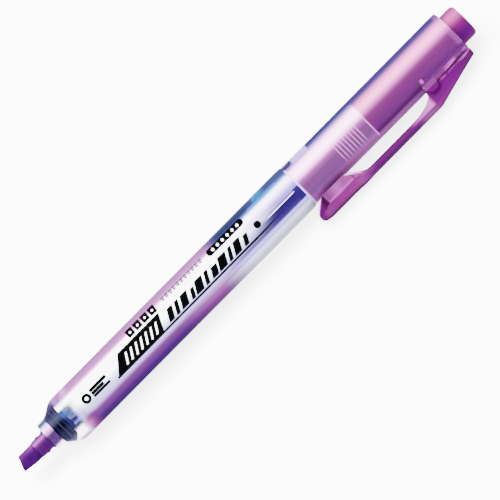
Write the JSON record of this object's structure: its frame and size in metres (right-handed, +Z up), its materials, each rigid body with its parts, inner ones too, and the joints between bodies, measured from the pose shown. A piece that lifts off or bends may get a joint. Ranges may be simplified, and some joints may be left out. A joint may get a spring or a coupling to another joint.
{
  "type": "highlighter",
  "caption": "Retractable chisel-tip highlighter with a clear threaded barrel, purple ink cartridge, push button, front shutter and hinged pocket clip, lying on its side.",
  "frame": {"origin": "centre of the bounding box, on the surface the pen lies on", "axes": "+X along the pen from nib to push button, +Z up, the clip leans towards -Y"},
  "size_m": [0.1428, 0.0168, 0.0119],
  "materials": {
    "clear": "clear polished",
    "label": "printed film",
    "blue": "translucent light blue",
    "seal": "moulded rubber",
    "steel": "bright wire and turned steel",
    "felt": "felt soaked in violet ink",
    "fibre": "ink-soaked fibre rod",
    "pink": "translucent pink-purple",
    "cartridge": "clear tinted",
    "purple": "translucent purple",
    "button": "polished pink-purple",
    "clip": "translucent magenta"
  },
  "bodies": {
    "barrel": {"front_barrel": "clear", "label_film": "label", "nose_cone": "clear", "nose_seal_ring": "seal", "valve_housing": "blue", "valve_seat_gasket": "seal", "nib_wiper_seal": "seal", "shutter_hinge_pin": "steel", "spring_stop_ring": "clear", "rear_barrel": "clear", "clip_pivot_pin": "pink"},
    "knock": {"nib": "felt", "nib_holder": "pink", "spring_seat": "steel", "return_spring": "steel", "cartridge_tube": "cartridge", "ink_reservoir": "fibre", "cartridge_end_plug": "purple", "knock_tube": "purple", "knock_button": "button", "latch_arm": "purple"},
    "shutter": {"shutter_flap": "seal"},
    "clip": {"clip": "clip"}
  },
  "joints": [
    {"name": "knock_slide", "type": "slide", "parent": "barrel", "child": "knock", "axis": [1, 0, 0], "range_m": [-0.001, 0.017], "deforming": ["return_spring", "latch_arm"]},
    {"name": "shutter_hinge", "type": "hinge", "parent": "barrel", "child": "shutter", "pos_m": [-0.0561, 0.00554, 0.0071], "axis": [0, 0.3421, -0.9397], "range_deg": [-6, 91], "deforming": ["shutter_flap"]},
    {"name": "clip_hinge", "type": "hinge", "parent": "barrel", "child": "clip", "pos_m": [0.0552, -0.00489, 0.0033], "axis": [0, -0.3421, 0.9397], "range_deg": [0, 4.2], "stiffness_Nm_per_rad": 0.3}
  ],
  "couplings": [
    {"joint": "shutter_hinge", "follows": "knock_slide", "rad_per_m": 92.4}
  ]
}
